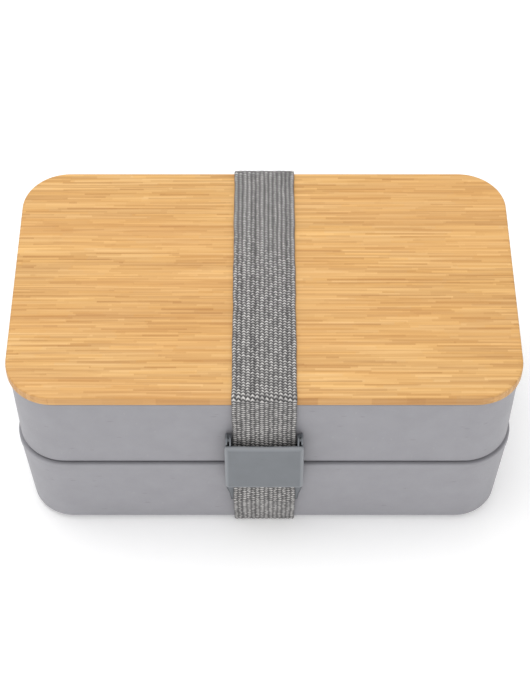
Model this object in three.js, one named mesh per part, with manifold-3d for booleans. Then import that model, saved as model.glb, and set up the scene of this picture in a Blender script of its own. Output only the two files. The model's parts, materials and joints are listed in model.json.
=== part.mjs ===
// A two-tier bento lunch box: bamboo lid, two stacked trays, a sealed inner lid, a divider,
// and an elastic strap that holds the stack together with a flip-lever buckle.
// Millimetres, +Z up. The long side runs along X and the buckle faces -Y.
// The origin is the middle of the strap's underside, which the box stands on.

import * as THREE from "three";
import { mergeVertices } from "three/addons/utils/BufferGeometryUtils.js";
import Module from "manifold-3d";

const wasm = await Module();
wasm.setup();

// ---------- driving dimensions ----------

const seat = 0.3; // gap left between pieces that touch on the real box
const arcSteps = 8; // facets in each rounded corner of the plan

const lidPlan = { length: 185, width: 109, radius: 17.5 };
const board = { thick: 4.4, topRound: 0.8, underRound: 0.5 };
const plug = { deep: 4, slack: 0.45, grooveLow: 1.3, grooveHigh: 3.1, grooveDeep: 1.3 };

const upper = {
  plan: { length: 184.1, width: 108.1, radius: 18.7 },
  high: 39,
  draft: 0.0208,
  footHigh: 2.6,
  footInset: 2.3,
  baseRound: 1.1,
};
const lower = {
  plan: { length: 184.2, width: 108.2, radius: 18.9 },
  high: 39,
  draft: 0.0652,
  baseRound: 2.2,
  ledgeBelowRim: 5,
  ledgeWide: 1.2,
};
const tray = { wall: 2, floor: 2, floorRound: 4, rimHigh: 3, rimProud: 0.25, rimRound: 0.6 };
const seam = 0.6; // open line between the two tiers

const inner = { slack: 0.35, plugDeep: 3.3, flangeThick: 2.3, panelLow: 1.8, panelHigh: 3.6 };
const vent = { x: 62, holeRadius: 3, stemRadius: 2.7, headRadius: 6.5, headThick: 1.3 };
const divider = { x: 27, thick: 1.6, high: 33.5, flangeWide: 9, flangeThick: 1.4, slack: 0.4 };
const strap = { width: 23, thick: 1 };

const buckle = {
  plateWide: 28.8,
  plateTop: 57.6,
  plateLow: 32.4,
  plateThick: 1.7,
  plateGap: 1, // from the strap's face to the back of the plate
  frameWide: 28,
  floorThick: 0.9,
  hingeHigh: 60.2,
  earRadius: 1.7,
  earThick: 1.1,
  lugThick: 0.75,
  lugRadius: 1.2,
  pivotRadius: 0.6,
  pivotHole: 0.75,
  footShoulder: 27.8, // the foot narrows from here in two steps
  footWaist: 23.7,
  footLow: 20,
};

// ---------- levels, from the ground up ----------

const lowerBase = strap.thick + seat;
const lowerRim = lowerBase + lower.high;
const ledge = lowerRim - lower.ledgeBelowRim;
const upperShoulder = lowerRim + seam;
const upperBase = upperShoulder - upper.footHigh;
const upperRim = upperBase + upper.high;
const boardUnder = upperRim + seat;
const boardTop = boardUnder + board.thick;
const plugBase = boardUnder - plug.deep;
const innerBase = ledge + seat - inner.plugDeep;

// ---------- shared geometry ----------

// The same plan drawn in by inset on every side.
function shrink(plan, inset) {
  return {
    length: plan.length - 2 * inset,
    width: plan.width - 2 * inset,
    radius: plan.radius - inset,
  };
}

// One level ring of the rounded rectangle, anticlockwise seen from above.
function ring(plan, [inset, z]) {
  const { length, width, radius } = shrink(plan, inset);
  const points = [];
  for (let corner = 0; corner < 4; corner++) {
    const right = corner === 0 || corner === 3 ? 1 : -1;
    const back = corner < 2 ? 1 : -1;
    for (let step = 0; step <= arcSteps; step++) {
      const angle = ((corner + step / arcSteps) * Math.PI) / 2;
      const x = right * (length / 2 - radius) + radius * Math.cos(angle);
      const y = back * (width / 2 - radius) + radius * Math.sin(angle);
      points.push([x, y, z]);
    }
  }
  return points;
}

function rings(plan, profile) {
  return profile.map((point) => ring(plan, point));
}

// Profile points on an arc. Angle 0 points out of the box and 90 points up.
function arc(inset, z, radius, from, to, steps) {
  const points = [];
  for (let step = 0; step <= steps; step++) {
    const angle = THREE.MathUtils.degToRad(from + ((to - from) * step) / steps);
    points.push([inset - radius * Math.cos(angle), z + radius * Math.sin(angle)]);
  }
  return points;
}

// Skins a stack of level rings. The profile runs out along the underside, up the outside,
// and back in. An open stack ends in two flat faces; a looped one closes on itself.
function skin(stack, looped = false) {
  const count = stack[0].length;
  const vertices = stack.flat();
  const faces = [];
  const bands = looped ? stack.length : stack.length - 1;
  for (let band = 0; band < bands; band++) {
    const low = band * count;
    const high = ((band + 1) % stack.length) * count;
    for (let i = 0; i < count; i++) {
      const next = (i + 1) % count;
      faces.push(low + i, low + next, high + next);
      faces.push(low + i, high + next, high + i);
    }
  }
  if (!looped) {
    const last = (stack.length - 1) * count;
    const under = vertices.push([0, 0, stack[0][0][2]]) - 1;
    const over = vertices.push([0, 0, stack.at(-1)[0][2]]) - 1;
    for (let i = 0; i < count; i++) {
      const next = (i + 1) % count;
      faces.push(under, next, i);
      faces.push(over, last + i, last + next);
    }
  }
  const geometry = new THREE.BufferGeometry();
  geometry.setAttribute("position", new THREE.Float32BufferAttribute(vertices.flat(), 3));
  geometry.setIndex(faces);
  return geometry;
}

function toSolid(geometry) {
  const bare = geometry.clone();
  bare.deleteAttribute("normal");
  bare.deleteAttribute("uv");
  const merged = mergeVertices(bare, 1e-4);
  return new wasm.Manifold(
    new wasm.Mesh({
      numProp: 3,
      vertProperties: Float32Array.from(merged.attributes.position.array),
      triVerts: Uint32Array.from(merged.index.array),
    }),
  );
}

function toGeometry(solid) {
  const mesh = solid.getMesh();
  const geometry = new THREE.BufferGeometry();
  geometry.setAttribute("position", new THREE.BufferAttribute(mesh.vertProperties, 3));
  geometry.setIndex(new THREE.BufferAttribute(mesh.triVerts, 1));
  return geometry;
}

function join(...geometries) {
  const solids = geometries.map(toSolid);
  return toGeometry(solids.reduce((whole, piece) => whole.add(piece)));
}

function cut(geometry, ...tools) {
  const solid = toSolid(geometry);
  return toGeometry(tools.reduce((rest, tool) => rest.subtract(toSolid(tool)), solid));
}

// A shape drawn in Y and Z, pushed out to both sides of x = middle.
function acrossX(shape, width, middle = 0, curveSegments = 8) {
  const geometry = new THREE.ExtrudeGeometry(shape, {
    depth: width,
    bevelEnabled: false,
    curveSegments,
  });
  const yAxis = new THREE.Vector3(0, 1, 0);
  const zAxis = new THREE.Vector3(0, 0, 1);
  const xAxis = new THREE.Vector3(1, 0, 0);
  geometry.applyMatrix4(new THREE.Matrix4().makeBasis(yAxis, zAxis, xAxis));
  return geometry.translate(middle - width / 2, 0, 0);
}

// A shape drawn in X and Z, pushed forwards from y = back by thick, with rounded edges.
function towardsFront(shape, thick, back, round = 0) {
  const geometry = new THREE.ExtrudeGeometry(shape, {
    depth: thick - 2 * round,
    bevelEnabled: round > 0,
    bevelThickness: round,
    bevelSize: round,
    bevelOffset: -round,
    bevelSegments: 3,
    curveSegments: 6,
  });
  geometry.translate(0, 0, round);
  const xAxis = new THREE.Vector3(1, 0, 0);
  const zAxis = new THREE.Vector3(0, 0, 1);
  const front = new THREE.Vector3(0, -1, 0);
  geometry.applyMatrix4(new THREE.Matrix4().makeBasis(xAxis, zAxis, front));
  return geometry.translate(0, back, 0);
}

function polygon(points) {
  return new THREE.Shape(points.map(([u, v]) => new THREE.Vector2(u, v)));
}

function piece(name, geometry, material, height = 0) {
  const mesh = new THREE.Mesh(geometry, material);
  mesh.name = name;
  mesh.position.z = height;
  return mesh;
}

function finish(color, roughness, metalness = 0) {
  return new THREE.MeshStandardMaterial({ color, roughness, metalness });
}

// ---------- trays ----------

// The rounded rim that both tiers carry, from the wall's band up and over to the inside.
function rimProfile(high) {
  const { wall, rimHigh, rimProud, rimRound } = tray;
  const insideRound = 0.4;
  return [
    [rimProud, high - rimHigh],
    [0, high - rimHigh + rimProud],
    ...arc(rimRound, high - rimRound, rimRound, 0, 90, 3),
    ...arc(wall - insideRound, high - insideRound, insideRound, 90, 180, 2),
  ];
}

// Inset of a tier's outer wall at a height below its rim band.
function wallInset(tier, z) {
  return tray.rimProud + (tier.high - tray.rimHigh - z) * tier.draft;
}

// The inside corner between wall and floor, down to the flat of the floor.
function floorProfile(tier, extraWall) {
  const turn = tray.floor + tray.floorRound;
  const inset = wallInset(tier, turn) + tray.wall + extraWall;
  return arc(inset + tray.floorRound, turn, tray.floorRound, 0, -90, 4);
}

function lowerTier() {
  const round = lower.baseRound;
  const ledgeHigh = lower.high - lower.ledgeBelowRim;
  const ledgeInset = tray.wall + lower.ledgeWide;
  const edge = 0.4;
  const profile = [
    ...arc(wallInset(lower, round) + round, round, round, -90, 0, 4),
    ...rimProfile(lower.high),
    [tray.wall, ledgeHigh],
    [ledgeInset - edge / 2, ledgeHigh],
    [ledgeInset, ledgeHigh - edge],
    ...floorProfile(lower, 0.2),
  ];
  return skin(rings(lower.plan, profile));
}

function upperTier() {
  const { footHigh, footInset, baseRound } = upper;
  const footRound = 0.8;
  const baseTurn = footHigh + baseRound;
  const profile = [
    ...arc(footInset + footRound, footRound, footRound, -90, 0, 2),
    [footInset, footHigh],
    ...arc(wallInset(upper, baseTurn) + baseRound, baseTurn, baseRound, -90, 0, 3),
    ...rimProfile(upper.high),
    ...floorProfile(upper, 0),
  ];
  return skin(rings(upper.plan, profile));
}

// A plate that stands across the upper tray, with a flange along its foot and both ends.
function trayDivider() {
  const { thick, high, flangeWide, flangeThick, slack, x } = divider;
  const floorTurn = tray.floor + tray.floorRound;
  const round = tray.floorRound - slack;
  const foot = upper.plan.width / 2 - wallInset(upper, floorTurn) - tray.wall - slack;
  const top = upper.plan.width / 2 - wallInset(upper, high) - tray.wall - slack;
  const underside = floorTurn - round;
  const topRound = 3;

  const plate = new THREE.Shape();
  plate.moveTo(-foot + round, underside);
  plate.lineTo(foot - round, underside);
  plate.absarc(foot - round, floorTurn, round, -Math.PI / 2, 0);
  plate.lineTo(top, high - topRound);
  plate.absarc(top - topRound, high - topRound, topRound, 0, Math.PI / 2);
  plate.lineTo(-top + topRound, high);
  plate.absarc(-top + topRound, high - topRound, topRound, Math.PI / 2, Math.PI);
  plate.lineTo(-foot, floorTurn);
  plate.absarc(-foot + round, floorTurn, round, Math.PI, 1.5 * Math.PI);

  const flanges = [-1, 1].map((side) =>
    polygon([
      [side * foot, floorTurn],
      [side * top, high - topRound],
      [side * (top - flangeThick), high - topRound],
      [side * (foot - flangeThick), floorTurn],
    ]),
  );
  const floorFlange = polygon([
    [round - foot, underside],
    [foot - round, underside],
    [foot - round, underside + flangeThick],
    [round - foot, underside + flangeThick],
  ]);
  return join(
    acrossX(plate, thick, x),
    acrossX(floorFlange, flangeWide, x),
    ...flanges.map((flange) => acrossX(flange, flangeWide, x)),
  );
}

// ---------- bamboo lid ----------

const plugPlan = shrink(upper.plan, tray.wall + plug.slack);

// A board that covers the rim, over a plug that drops inside it and carries the seal.
function bambooLid() {
  const { deep, grooveLow, grooveHigh, grooveDeep } = plug;
  const edge = 0.5;
  const top = deep + board.thick;
  const plugProfile = [
    ...arc(edge, edge, edge, -90, 0, 2),
    [0, grooveLow],
    [grooveDeep, grooveLow],
    [grooveDeep, grooveHigh],
    [0, grooveHigh],
    [0, deep],
  ];
  const boardProfile = [
    ...arc(board.underRound, deep + board.underRound, board.underRound, -90, 0, 2),
    ...arc(board.topRound, top - board.topRound, board.topRound, 0, 90, 4),
  ];
  return skin([...rings(plugPlan, plugProfile), ...rings(lidPlan, boardProfile)]);
}

// A silicone ring of half-round section, standing proud of the groove it sits in.
function sealRing(plan, proud, grooveDeep, low, high) {
  const slack = 0.15;
  const radius = (high - low) / 2 - slack;
  const middle = (low + high) / 2;
  const back = grooveDeep - slack;
  const profile = [
    ...arc(radius - proud, middle, radius, -90, 90, 4),
    [back, middle + radius],
    [back, middle - radius],
  ];
  return skin(rings(plan, profile), true);
}

// ---------- inner lid ----------

const innerPlan = shrink(lower.plan, tray.wall + inner.slack);
const innerPlug = { inset: 1.55, grooveDeep: 1.15, grooveLow: 0.75, grooveHigh: 2.55 };

// A flange that lies on the lower tray's ledge, a hanging plug rim, and a sunken panel.
function innerLid() {
  const { plugDeep, flangeThick, panelLow, panelHigh } = inner;
  const { inset, grooveDeep, grooveLow, grooveHigh } = innerPlug;
  const top = plugDeep + flangeThick;
  const edge = 0.3;
  const rimInside = 4.4;
  const panelInset = 7.2;
  const profile = [
    [panelInset, panelLow],
    [rimInside + edge, panelLow],
    [rimInside, edge],
    [rimInside - edge, 0],
    [inset + edge, 0],
    [inset, edge],
    [inset, grooveLow],
    [inset + grooveDeep, grooveLow],
    [inset + grooveDeep, grooveHigh],
    [inset, grooveHigh],
    [inset, plugDeep],
    [edge, plugDeep],
    [0, plugDeep + edge],
    [0, top - edge],
    [edge, top],
    [panelInset - 4 * edge, top],
    [panelInset, panelHigh],
  ];
  const hole = new THREE.CylinderGeometry(vent.holeRadius, vent.holeRadius, 3 * plugDeep, 24);
  hole.rotateX(Math.PI / 2);
  hole.translate(vent.x, 0, 0);
  return cut(skin(rings(innerPlan, profile)), hole);
}

// A mushroom of silicone that stops the steam vent.
function ventPlug() {
  const { stemRadius, headRadius, headThick } = vent;
  const under = inner.panelHigh + seat;
  const tip = inner.panelLow - 0.8;
  const round = 0.4;
  const profile = [
    [0, tip],
    [stemRadius - round, tip],
    [stemRadius, tip + round],
    [stemRadius, under],
    [headRadius - round, under],
    [headRadius, under + round],
    [headRadius - round, under + headThick],
    [0, under + headThick],
  ];
  const points = profile.map(([radius, z]) => new THREE.Vector2(radius, z));
  const geometry = new THREE.LatheGeometry(points, 24);
  geometry.rotateX(Math.PI / 2);
  return geometry.translate(vent.x, 0, 0);
}

// ---------- elastic strap ----------

const strapLift = seat + strap.thick / 2; // from a surface of the box to the strap's middle
const topTurn = {
  y: lidPlan.width / 2 - board.topRound,
  z: boardTop - board.topRound,
  radius: board.topRound + strapLift,
};
const baseTurn = {
  y: lower.plan.width / 2 - wallInset(lower, lower.baseRound) - lower.baseRound,
  z: lowerBase + lower.baseRound,
  radius: lower.baseRound + strapLift,
};
const lidSide = lidPlan.width / 2 + strapLift;
const rimSide = lower.plan.width / 2 + strapLift;
const buckleSide = rimSide + 1.2; // the buckle's floor holds the strap off the wall
const frontStep = 63; // the strap is one band: these are the levels where its solids part
const stretchStep = 70;
const topStep = 78;

// Points round a bend. Turn 0 points down or up, away from the box, and turn 1 sideways.
function bend({ y, z, radius }, side, upDown, steps = 5) {
  const points = [];
  for (let step = 0; step <= steps; step++) {
    const angle = ((step / steps) * Math.PI) / 2;
    points.push([
      side * (y + radius * Math.sin(angle)),
      z + upDown * radius * Math.cos(angle),
    ]);
  }
  return points;
}

// The point at a height on the straight line between two points of the strap.
function between([y0, z0], [y1, z1], z) {
  return [y0 + ((y1 - y0) * (z - z0)) / (z1 - z0), z];
}

// A band of the strap's thickness along a path in Y and Z, as wide as the strap in X.
function strapRun(path) {
  const sides = [1, -1].map((side) =>
    path.map(([y, z], i) => {
      const [y0, z0] = path[Math.max(i - 1, 0)];
      const [y1, z1] = path[Math.min(i + 1, path.length - 1)];
      const length = Math.hypot(y1 - y0, z1 - z0);
      const half = (side * strap.thick) / 2;
      return [y - (half * (z1 - z0)) / length, z + (half * (y1 - y0)) / length];
    }),
  );
  return acrossX(polygon([...sides[0], ...sides[1].reverse()]), strap.width);
}

function strapPieces() {
  const half = seat / 2;
  const frontLid = [-lidSide, topTurn.z];
  const frontEntry = [-buckleSide, buckle.plateTop];
  const frontExit = [-buckleSide, buckle.footLow];
  const backLid = [lidSide, topTurn.z];
  const backRim = [rimSide, lowerRim - 1];
  const backBase = [baseTurn.y + baseTurn.radius, baseTurn.z];
  const frontBase = [-backBase[0], backBase[1]];
  const onFront = (z) => between(frontEntry, frontLid, z);
  const onBack = (z) => between(backRim, backLid, z);
  return {
    strap_top: [
      onFront(topStep + half),
      ...bend(topTurn, -1, 1).reverse(),
      ...bend(topTurn, 1, 1),
      onBack(topStep + half),
    ],
    strap_front_rise: [onFront(stretchStep + half), onFront(topStep - half)],
    strap_back_rise: [onBack(stretchStep + half), onBack(topStep - half)],
    strap_front_mid: [onFront(frontStep + half), onFront(stretchStep - half)],
    strap_back_mid: [onBack(frontStep + half), onBack(stretchStep - half)],
    strap_front_end: [frontExit, frontEntry, onFront(frontStep - half)],
    strap_back_low: [
      between(backBase, backRim, baseTurn.z + half),
      backRim,
      onBack(frontStep - half),
    ],
    strap_front_low: [
      between(frontBase, frontExit, baseTurn.z + half),
      between(frontBase, frontExit, buckle.footLow - seat),
    ],
    strap_bottom: [
      between(frontBase, frontExit, baseTurn.z - half),
      ...bend(baseTurn, -1, -1).reverse().slice(1),
      ...bend(baseTurn, 1, -1).slice(0, -1),
      between(backBase, backRim, baseTurn.z - half),
    ],
  };
}

// ---------- flip-lever buckle ----------

const frameBack = -lower.plan.width / 2 - 0.35;
const plateBack = -buckleSide - strap.thick / 2 - buckle.plateGap;
const hingeY = -buckleSide - 0.9;
const earOut = buckle.frameWide / 2;
const lugIn = strap.width / 2 + 0.15;

function pivotRod(radius, length, x) {
  const rod = new THREE.CylinderGeometry(radius, radius, length, 20);
  rod.rotateZ(Math.PI / 2);
  return rod.translate(x, hingeY, buckle.hingeHigh);
}

// Floor plate with a tapered foot that the strap runs over, and two side ears.
function buckleFrame() {
  const { hingeHigh, earRadius, earThick, plateLow, footShoulder, footWaist, footLow } = buckle;
  const floorTop = hingeHigh - 0.4;
  const waist = earOut - 1.1;
  const foot = earOut - 1.6;
  const floorShape = polygon([
    [-earOut, floorTop],
    [-earOut, footShoulder],
    [-waist, footWaist],
    [-foot, footLow],
    [foot, footLow],
    [waist, footWaist],
    [earOut, footShoulder],
    [earOut, floorTop],
  ]);
  const railFront = plateBack + seat;
  const ear = new THREE.Shape();
  ear.moveTo(frameBack, plateLow + 1);
  ear.lineTo(railFront, plateLow + 1);
  ear.lineTo(railFront, hingeHigh - earRadius);
  ear.lineTo(hingeY, hingeHigh - earRadius);
  ear.absarc(hingeY, hingeHigh, earRadius, -Math.PI / 2, Math.PI / 2, true);
  ear.lineTo(frameBack, hingeHigh + earRadius - 1);
  const earMiddle = earOut - earThick / 2;
  const solid = join(
    towardsFront(floorShape, buckle.floorThick, frameBack),
    acrossX(ear, earThick, -earMiddle),
    acrossX(ear, earThick, earMiddle),
  );
  return cut(solid, pivotRod(buckle.pivotHole, 2 * buckle.frameWide, 0));
}

// A rib along the back of the cover plate that reaches for the strap, from low to high.
function plateRib(low, high) {
  const tip = plateBack + buckle.plateGap - 0.25;
  const rib = polygon([
    [plateBack - 0.5, low],
    [tip, low + 0.4],
    [tip, high - 0.4],
    [plateBack - 0.5, high],
  ]);
  return acrossX(rib, strap.width - 1);
}

// Cover plate with rounded edges, two lugs beside the strap, pivots, and two ribs on its
// back: one grips the strap under the hinge and one closes the lower edge.
function buckleLever() {
  const { plateWide, plateTop, plateLow, plateThick, hingeHigh, lugThick, lugRadius } = buckle;
  const half = plateWide / 2;
  const lowRound = 1.6;
  const topRound = 0.8;
  const topSag = 0.4;
  const plate = new THREE.Shape();
  plate.moveTo(-half + lowRound, plateLow);
  plate.lineTo(half - lowRound, plateLow);
  plate.absarc(half - lowRound, plateLow + lowRound, lowRound, -Math.PI / 2, 0);
  plate.lineTo(half, plateTop - topRound);
  plate.absarc(half - topRound, plateTop - topRound, topRound, 0, Math.PI / 2);
  plate.quadraticCurveTo(0, plateTop - 2 * topSag, -half + topRound, plateTop);
  plate.absarc(-half + topRound, plateTop - topRound, topRound, Math.PI / 2, Math.PI);
  plate.lineTo(-half, plateLow + lowRound);
  plate.absarc(-half + lowRound, plateLow + lowRound, lowRound, Math.PI, 1.5 * Math.PI);

  const lug = new THREE.Shape();
  lug.moveTo(hingeY + lugRadius, hingeHigh);
  lug.absarc(hingeY, hingeHigh, lugRadius, 0, Math.PI);
  lug.lineTo(hingeY - lugRadius, plateTop - 2);
  lug.lineTo(hingeY + lugRadius, plateTop - 2);

  const lugMiddle = lugIn + lugThick / 2;
  const pivotLong = 1.3;
  const pivotMiddle = lugIn + lugThick + pivotLong / 2 - 0.05;
  return join(
    towardsFront(plate, plateThick, plateBack, 0.5),
    plateRib(plateTop - 5.5, plateTop - 2.5),
    plateRib(plateLow + 0.4, plateLow + 2),
    acrossX(lug, lugThick, -lugMiddle),
    acrossX(lug, lugThick, lugMiddle),
    pivotRod(buckle.pivotRadius, pivotLong, -pivotMiddle),
    pivotRod(buckle.pivotRadius, pivotLong, pivotMiddle),
  );
}

// ---------- assembly ----------

const bamboo = () => finish(0xe7b677, 0.55);
const trayPlastic = () => finish(0xa1a0a4, 0.5);
const innerPlastic = () => finish(0xd9dadb, 0.4);
const silicone = () => finish(0xe9e9e6, 0.6);
const webbing = () => finish(0x8c8886, 0.9);
const bucklePlastic = () => finish(0x80848a, 0.4);

const lid = new THREE.Group();
lid.position.z = plugBase;
lid.add(
  piece("bamboo_lid", bambooLid(), bamboo()),
  piece(
    "lid_seal",
    sealRing(plugPlan, plug.slack - 0.15, plug.grooveDeep, plug.grooveLow, plug.grooveHigh),
    silicone(),
  ),
);

const innerCover = new THREE.Group();
innerCover.position.z = innerBase;
const sealPlan = shrink(innerPlan, innerPlug.inset);
innerCover.add(
  piece("inner_lid", innerLid(), innerPlastic()),
  piece(
    "inner_lid_seal",
    sealRing(sealPlan, 0.4, innerPlug.grooveDeep, innerPlug.grooveLow, innerPlug.grooveHigh),
    silicone(),
  ),
  piece("vent_plug", ventPlug(), silicone()),
);

const strapLoop = new THREE.Group();
for (const [name, path] of Object.entries(strapPieces())) {
  strapLoop.add(piece(name, strapRun(path), webbing()));
}
strapLoop.add(
  piece("buckle_frame", buckleFrame(), bucklePlastic()),
  piece("buckle_lever", buckleLever(), bucklePlastic()),
);

const bentoBox = new THREE.Group();
bentoBox.name = "bento_lunch_box";
bentoBox.add(
  piece("lower_tier", lowerTier(), trayPlastic(), lowerBase),
  innerCover,
  piece("upper_tier", upperTier(), trayPlastic(), upperBase),
  piece("divider", trayDivider(), innerPlastic(), upperBase),
  lid,
  strapLoop,
);

export default bentoBox;
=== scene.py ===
import json
import math

import bpy
import numpy as np
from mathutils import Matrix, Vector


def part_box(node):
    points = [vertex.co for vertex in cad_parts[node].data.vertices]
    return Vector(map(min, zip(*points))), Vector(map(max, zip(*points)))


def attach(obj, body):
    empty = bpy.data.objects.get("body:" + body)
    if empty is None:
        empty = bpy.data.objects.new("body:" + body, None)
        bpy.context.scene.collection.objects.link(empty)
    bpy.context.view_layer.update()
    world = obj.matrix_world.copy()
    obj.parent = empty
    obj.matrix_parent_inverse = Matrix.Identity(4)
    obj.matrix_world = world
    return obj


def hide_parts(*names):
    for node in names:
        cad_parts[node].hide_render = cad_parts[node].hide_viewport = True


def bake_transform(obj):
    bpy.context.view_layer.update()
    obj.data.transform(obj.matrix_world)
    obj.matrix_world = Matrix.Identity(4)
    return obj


# a two-tier bento box with a bamboo lid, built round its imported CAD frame
# lengths in the dictionaries are millimetres, meshes are written in metres
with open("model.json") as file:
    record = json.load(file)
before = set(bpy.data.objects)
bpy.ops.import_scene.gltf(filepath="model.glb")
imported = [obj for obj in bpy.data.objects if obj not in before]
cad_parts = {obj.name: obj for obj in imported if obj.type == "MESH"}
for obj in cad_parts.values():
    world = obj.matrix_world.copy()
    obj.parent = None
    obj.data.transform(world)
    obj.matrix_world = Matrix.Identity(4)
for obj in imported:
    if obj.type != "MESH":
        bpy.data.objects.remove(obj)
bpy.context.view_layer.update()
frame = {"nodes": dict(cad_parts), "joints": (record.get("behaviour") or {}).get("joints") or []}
scene = bpy.context.scene
metre = 0.001
print("frame loaded:", len(frame["nodes"]), "nodes")


def cadBox(node):
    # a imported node's two corners, metres turned to millimetres
    low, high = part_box(node)
    return np.array(low) / metre, np.array(high) / metre


cameraSetup = {
    "elevation": 51.5,  # degrees above the table
    "distance": 695.6,
    "aimHeight": 43.7,
    "lens": 94.1,
    "shiftX": 0.0011,
}

studio = {
    "sky": (1.0, 1.0, 1.0),
    "skyStrength": 0.74,
    "floorColor": (0.96, 0.96, 0.96),
    "floorGlow": 0.2,
    "floorSize": 4000,
    # name, place, aim, size, watts
    "lamps": [
        ("softboxOver", (-200, 100, 1200), (0, 0, 60), 800, 6.0),
        ("softboxFront", (-150, -1300, 700), (0, 0, 40), 800, 1.85),
    ],
}


def makeCamera():
    # stands back from the aim along the elevation and looks down at it
    turn = math.radians(cameraSetup["elevation"])
    aim = np.array([0, 0, cameraSetup["aimHeight"]])
    away = np.array([0, -math.cos(turn), math.sin(turn)])
    place = (aim + away * cameraSetup["distance"]) * metre
    data = bpy.data.cameras.new("camera")
    data.lens = cameraSetup["lens"]
    data.shift_x = cameraSetup["shiftX"]
    data.clip_start = 0.05
    data.clip_end = 20
    camera = bpy.data.objects.new("camera", data)
    camera.location = place
    camera.rotation_euler = (math.radians(90) - turn, 0, 0)
    scene.collection.objects.link(camera)
    scene.camera = camera


def makeLamp(name, place, aim, size, watts):
    # a square softbox turned from its place to its aim
    data = bpy.data.lights.new(name, "AREA")
    data.shape = "SQUARE"
    data.size = size * metre
    data.energy = watts
    lamp = bpy.data.objects.new(name, data)
    lamp.location = np.array(place) * metre
    direction = Vector(np.array(aim, float) - np.array(place, float))
    lamp.rotation_euler = direction.to_track_quat("-Z", "Y").to_euler()
    scene.collection.objects.link(lamp)


def makeStudio():
    # even sky, two softboxes and a pale floor
    world = bpy.data.worlds.new("studioSky")
    world.use_nodes = True
    background = world.node_tree.nodes["Background"]
    background.inputs["Color"].default_value = (*studio["sky"], 1)
    background.inputs["Strength"].default_value = studio["skyStrength"]
    scene.world = world
    for lamp in studio["lamps"]:
        makeLamp(*lamp)
    scene.view_settings.view_transform = "Standard"
    half = studio["floorSize"] * metre / 2
    mesh = bpy.data.meshes.new("floor")
    corners = [(-half, -half, 0), (half, -half, 0), (half, half, 0), (-half, half, 0)]
    mesh.from_pydata(corners, [], [(0, 1, 2, 3)])
    floor = bpy.data.objects.new("floor", mesh)
    scene.collection.objects.link(floor)
    paint = bpy.data.materials.new("floorPaint")
    paint.use_nodes = True
    shader = paint.node_tree.nodes["Principled BSDF"]
    shader.inputs["Base Color"].default_value = (*studio["floorColor"], 1)
    shader.inputs["Roughness"].default_value = 0.8
    shader.inputs["Emission Color"].default_value = (*studio["floorColor"], 1)
    shader.inputs["Emission Strength"].default_value = studio["floorGlow"]
    mesh.materials.append(paint)


makeCamera()
makeStudio()
print("camera and studio ready")



def put(tree, kind, sockets=None, **settings):
    # a node with its settings made and its sockets linked or filled
    node = tree.nodes.new(kind)
    for name, value in settings.items():
        setattr(node, name, value)
    for name, value in (sockets or {}).items():
        if isinstance(value, bpy.types.NodeSocket):
            tree.links.new(value, node.inputs[name])
        else:
            node.inputs[name].default_value = value
    return node


def calc(tree, operation, *values):
    # one sum on values or sockets
    node = put(tree, "ShaderNodeMath", dict(enumerate(values)), operation=operation)
    return node.outputs[0]


def blendColors(tree, share, first, second, mode="MIX"):
    # first where share is 0, second where it is 1
    sockets = {0: share, 6: first, 7: second}
    node = put(tree, "ShaderNodeMix", sockets, data_type="RGBA", blend_type=mode)
    return node.outputs[2]


def spread(tree, value, low, high, toLow=0.0, toHigh=1.0, kind="LINEAR"):
    # low..high laid onto toLow..toHigh and clamped
    sockets = {"Value": value, 1: low, 2: high, 3: toLow, 4: toHigh}
    node = put(tree, "ShaderNodeMapRange", sockets, interpolation_type=kind)
    return node.outputs[0]


def millimetres(tree, scale=(1, 1, 1)):
    # object coordinates in millimetres, squeezed by scale
    place = put(tree, "ShaderNodeTexCoord").outputs["Object"]
    factors = tuple(value / metre for value in scale)
    sockets = {"Vector": place, "Scale": factors}
    return put(tree, "ShaderNodeMapping", sockets).outputs[0]


def noise(tree, vector, scale=1.0, detail=2.0, rough=0.5):
    # soft random values from 0 to 1
    sockets = {"Vector": vector, "Scale": scale, "Detail": detail, "Roughness": rough}
    return put(tree, "ShaderNodeTexNoise", sockets).outputs[0]


def makeGroup(name, inputs, outputs):
    # an empty node group with its named sockets
    group = bpy.data.node_groups.new(name, "ShaderNodeTree")
    for label, kind, value in inputs:
        socket = group.interface.new_socket(label, in_out="INPUT", socket_type=kind)
        if value is not None:
            socket.default_value = value
    for label, kind in outputs:
        group.interface.new_socket(label, in_out="OUTPUT", socket_type=kind)
    return group, group.nodes.new("NodeGroupInput"), group.nodes.new("NodeGroupOutput")


def makeMaterial(name, color, roughness, **extra):
    material = bpy.data.materials.new(name)
    material.use_nodes = True
    tree = material.node_tree
    shader = tree.nodes["Principled BSDF"]
    shader.inputs["Base Color"].default_value = (*color, 1)
    shader.inputs["Roughness"].default_value = roughness
    material.diffuse_color = (*color, 1)
    for label, value in extra.items():
        shader.inputs[label.replace("_", " ")].default_value = value
    return material, tree, shader


def feed(tree, socket, shader, label):
    # links a socket to one of the shader's
    tree.links.new(socket, shader.inputs[label])


def roughen(tree, shader, height, distance, strength=1.0):
    # bump from a height, distance in metres
    sockets = {"Height": height, "Distance": distance, "Strength": strength}
    bump = put(tree, "ShaderNodeBump", sockets)
    tree.links.new(bump.outputs["Normal"], shader.inputs["Normal"])


floatKind = "NodeSocketFloat"
vectorKind = "NodeSocketVector"


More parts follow.
